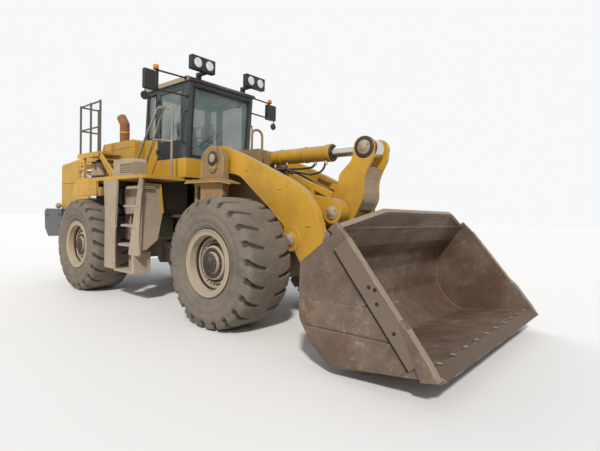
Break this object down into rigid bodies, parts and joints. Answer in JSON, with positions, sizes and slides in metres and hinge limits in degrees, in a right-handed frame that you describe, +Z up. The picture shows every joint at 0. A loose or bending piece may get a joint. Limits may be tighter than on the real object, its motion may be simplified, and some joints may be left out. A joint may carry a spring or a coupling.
{
  "type": "wheel loader",
  "caption": "Articulated wheel loader with a rock bucket on lift arms, bell crank and cylinders, cab with platforms and ladders, and four large treaded tyres.",
  "frame": {"origin": "on the ground, under the centre of the machine's bounding box", "axes": "+X forward to the bucket, +Y to the machine's left, +Z up"},
  "size_m": [11.0237, 3.87, 4.565],
  "materials": {
    "loader_yellow": "dusty satin paint",
    "dusty_beige": "satin paint under thick dust",
    "tyre": "dusty tread rubber",
    "chassis_grey": "matt dark grey paint",
    "bucket_steel": "scratched and rusty worn paint",
    "edge_steel": "worn bare steel",
    "rod_chrome": "polished",
    "cab_dark": "dark grey satin",
    "glass": "lightly tinted",
    "rust": "rusty",
    "rail_yellow": "satin",
    "dark_plastic": "matt",
    "fabric": "woven",
    "engine": "dull"
  },
  "bodies": {
    "rear_body": {"rear_frame": "chassis_grey", "counterweight": "chassis_grey", "engine_block": "engine", "hood": "dusty_beige", "lower_panels": "dusty_beige", "deck": "loader_yellow", "side_tanks": "chassis_grey", "ladders": "chassis_grey", "handrails": "rail_yellow", "exhaust_stack": "rust", "cab_shell": "cab_dark", "cab_roof": "dusty_beige", "cab_glass": "glass", "seat": "fabric", "console": "dark_plastic", "work_lamps": "dark_plastic", "mirrors": "dark_plastic", "rear_axle": "dusty_beige", "guard_rails": "rail_yellow", "air_cleaner": "dusty_beige", "step_boxes": "dusty_beige"},
    "front_body": {"front_frame": "loader_yellow", "front_axle": "dusty_beige"},
    "boom": {"boom": "loader_yellow"},
    "bell_crank": {"bell_crank": "loader_yellow"},
    "bucket_link": {"bucket_link": "loader_yellow"},
    "bucket": {"bucket": "bucket_steel", "cutting_edge": "edge_steel"},
    "tilt_barrel": {"tilt_barrel": "loader_yellow", "hoses": "dark_plastic"},
    "tilt_rod": {"tilt_rod": "rod_chrome"},
    "rear_grille": {"rear_grille": "chassis_grey"},
    "wheel_front_left": {"tyre_front_left": "tyre", "rim_front_left": "dusty_beige"},
    "wheel_front_right": {"tyre_front_right": "tyre", "rim_front_right": "dusty_beige"},
    "wheel_rear_left": {"tyre_rear_left": "tyre", "rim_rear_left": "dusty_beige"},
    "wheel_rear_right": {"tyre_rear_right": "tyre", "rim_rear_right": "dusty_beige"},
    "lift_barrel_left": {"lift_barrel_left": "loader_yellow"},
    "lift_rod_left": {"lift_rod_left": "rod_chrome"},
    "steer_barrel_left": {"steer_barrel_left": "loader_yellow"},
    "steer_rod_left": {"steer_rod_left": "rod_chrome"},
    "cab_door_left": {"cab_door_left": "cab_dark", "door_glass_left": "glass"},
    "engine_door_left": {"engine_door_left": "dusty_beige"},
    "lift_barrel_right": {"lift_barrel_right": "loader_yellow"},
    "lift_rod_right": {"lift_rod_right": "rod_chrome"},
    "steer_barrel_right": {"steer_barrel_right": "loader_yellow"},
    "steer_rod_right": {"steer_rod_right": "rod_chrome"},
    "cab_door_right": {"cab_door_right": "cab_dark", "door_glass_right": "glass"},
    "engine_door_right": {"engine_door_right": "dusty_beige"}
  },
  "joints": [
    {"name": "frame_steer", "type": "hinge", "parent": "rear_body", "child": "front_body", "pos_m": [-0.3185, 0, 1.05], "axis": [0, 0, 1], "range_deg": [-35, 35]},
    {"name": "wheel_spin_front_left", "type": "hinge", "parent": "front_body", "child": "wheel_front_left", "pos_m": [1.9065, 1.325, 0.975], "axis": [0, 1, 0], "continuous": true},
    {"name": "wheel_spin_front_right", "type": "hinge", "parent": "front_body", "child": "wheel_front_right", "pos_m": [1.9065, -1.325, 0.975], "axis": [0, 1, 0], "continuous": true},
    {"name": "wheel_spin_rear_left", "type": "hinge", "parent": "rear_body", "child": "wheel_rear_left", "pos_m": [-2.5435, 1.325, 0.975], "axis": [0, 1, 0], "continuous": true},
    {"name": "wheel_spin_rear_right", "type": "hinge", "parent": "rear_body", "child": "wheel_rear_right", "pos_m": [-2.5435, -1.325, 0.975], "axis": [0, 1, 0], "continuous": true},
    {"name": "boom_lift", "type": "hinge", "parent": "front_body", "child": "boom", "pos_m": [1.0665, 0, 2.63], "axis": [0, -1, 0], "range_deg": [-2, 86]},
    {"name": "bucket_tilt", "type": "hinge", "parent": "boom", "child": "bucket", "pos_m": [3.5665, 0, 0.47], "axis": [0, 1, 0], "range_deg": [-20, 135]},
    {"name": "crank_turn", "type": "hinge", "parent": "boom", "child": "bell_crank", "pos_m": [3.2265, 0, 1.75], "axis": [0, -1, 0], "range_deg": [-5, 28]},
    {"name": "link_turn", "type": "hinge", "parent": "bell_crank", "child": "bucket_link", "pos_m": [3.0565, 0, 0.83], "axis": [0, -1, 0], "range_deg": [-84.7, 13.4]},
    {"name": "tilt_barrel_turn", "type": "hinge", "parent": "front_body", "child": "tilt_barrel", "pos_m": [1.4165, 0, 2.71], "axis": [0, -1, 0], "range_deg": [-3.25, 97.75]},
    {"name": "tilt_rod_slide", "type": "slide", "parent": "tilt_barrel", "child": "tilt_rod", "axis": [1, 0, 0], "range_m": [-0.4756, 0.07216]},
    {"name": "lift_barrel_turn_left", "type": "hinge", "parent": "front_body", "child": "lift_barrel_left", "pos_m": [0.6065, 0.52, 1.29], "axis": [0, -1, 0], "range_deg": [-2.31, 57.33]},
    {"name": "lift_rod_slide_left", "type": "slide", "parent": "lift_barrel_left", "child": "lift_rod_left", "axis": [0.9997, 0, 0.0262], "range_m": [-0.03296, 1.33337]},
    {"name": "steer_barrel_turn_left", "type": "hinge", "parent": "rear_body", "child": "steer_barrel_left", "pos_m": [-1.1685, 0.42, 1.01], "axis": [0, 0, 1], "range_deg": [-10.7, 10.7]},
    {"name": "steer_rod_slide_left", "type": "slide", "parent": "steer_barrel_left", "child": "steer_rod_left", "axis": [0.9962, 0.0866, 0], "range_m": [-0.29522, 0.29522]},
    {"name": "cab_door_left", "type": "hinge", "parent": "rear_body", "child": "cab_door_left", "pos_m": [-0.9425, 0.82, 3.3], "axis": [0, 0, 1], "range_deg": [0, 95]},
    {"name": "engine_door_left", "type": "hinge", "parent": "rear_body", "child": "engine_door_left", "pos_m": [-3.138, 1.02, 2.63], "axis": [0, 0, -1], "range_deg": [0, 80]},
    {"name": "lift_barrel_turn_right", "type": "hinge", "parent": "front_body", "child": "lift_barrel_right", "pos_m": [0.6065, -0.52, 1.29], "axis": [0, -1, 0], "range_deg": [-2.31, 57.33]},
    {"name": "lift_rod_slide_right", "type": "slide", "parent": "lift_barrel_right", "child": "lift_rod_right", "axis": [0.9997, 0, 0.0262], "range_m": [-0.03296, 1.33337]},
    {"name": "steer_barrel_turn_right", "type": "hinge", "parent": "rear_body", "child": "steer_barrel_right", "pos_m": [-1.1685, -0.42, 1.01], "axis": [0, 0, 1], "range_deg": [-10.7, 10.7]},
    {"name": "steer_rod_slide_right", "type": "slide", "parent": "steer_barrel_right", "child": "steer_rod_right", "axis": [0.9962, -0.0866, 0], "range_m": [-0.29522, 0.29522]},
    {"name": "cab_door_right", "type": "hinge", "parent": "rear_body", "child": "cab_door_right", "pos_m": [-0.9425, -0.82, 3.3], "axis": [0, 0, -1], "range_deg": [0, 10]},
    {"name": "engine_door_right", "type": "hinge", "parent": "rear_body", "child": "engine_door_right", "pos_m": [-3.138, -1.02, 2.63], "axis": [0, 0, 1], "range_deg": [0, 80]},
    {"name": "rear_grille_swing", "type": "hinge", "parent": "rear_body", "child": "rear_grille", "pos_m": [-5.2635, 0.886, 2.2], "axis": [0, 0, -1], "range_deg": [0, 100]}
  ],
  "couplings": [
    {"joint": "crank_turn", "follows": "bucket_tilt", "ratio": 0.2},
    {"joint": "link_turn", "follows": "bucket_tilt", "ratio": -0.62},
    {"joint": "tilt_rod_slide", "follows": "bucket_tilt", "m_per_rad": -0.201},
    {"joint": "tilt_barrel_turn", "follows": "boom_lift", "ratio": 1.125},
    {"joint": "lift_barrel_turn_left", "follows": "boom_lift", "ratio": 0.655},
    {"joint": "lift_rod_slide_left", "follows": "boom_lift", "m_per_rad": 0.887},
    {"joint": "steer_barrel_turn_left", "follows": "frame_steer", "ratio": 0.277},
    {"joint": "steer_rod_slide_left", "follows": "frame_steer", "m_per_rad": -0.48},
    {"joint": "lift_barrel_turn_right", "follows": "boom_lift", "ratio": 0.655},
    {"joint": "lift_rod_slide_right", "follows": "boom_lift", "m_per_rad": 0.887},
    {"joint": "steer_barrel_turn_right", "follows": "frame_steer", "ratio": 0.277},
    {"joint": "steer_rod_slide_right", "follows": "frame_steer", "m_per_rad": 0.48}
  ]
}
